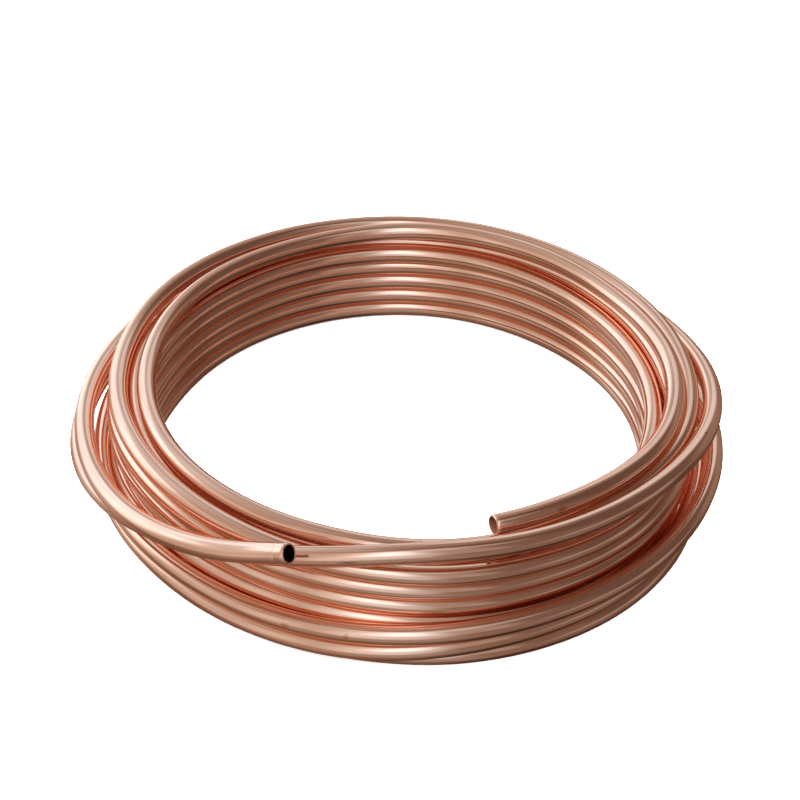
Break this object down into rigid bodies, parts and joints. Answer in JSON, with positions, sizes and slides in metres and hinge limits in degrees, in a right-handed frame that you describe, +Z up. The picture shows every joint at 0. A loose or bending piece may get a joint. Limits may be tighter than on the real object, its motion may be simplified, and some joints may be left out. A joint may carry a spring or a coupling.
{
  "type": "copper tube coil",
  "caption": "Loose-wound coil of soft copper tube lying flat, with a wide open centre and two free cut ends, cut to length for plumbing and refrigerant lines.",
  "frame": {"origin": "on the floor, under the middle of the coil's outline", "axes": "+Z up along the coil's axis, +X to the right and +Y away from the side where the two free ends lie"},
  "size_m": [0.4402, 0.4164, 0.1077],
  "materials": {
    "copper": "satin drawn copper, slightly dulled, with fine lengthwise streaks and small scuffs"
  },
  "bodies": {
    "root": {"tube_coil": "copper"}
  },
  "joints": []
}
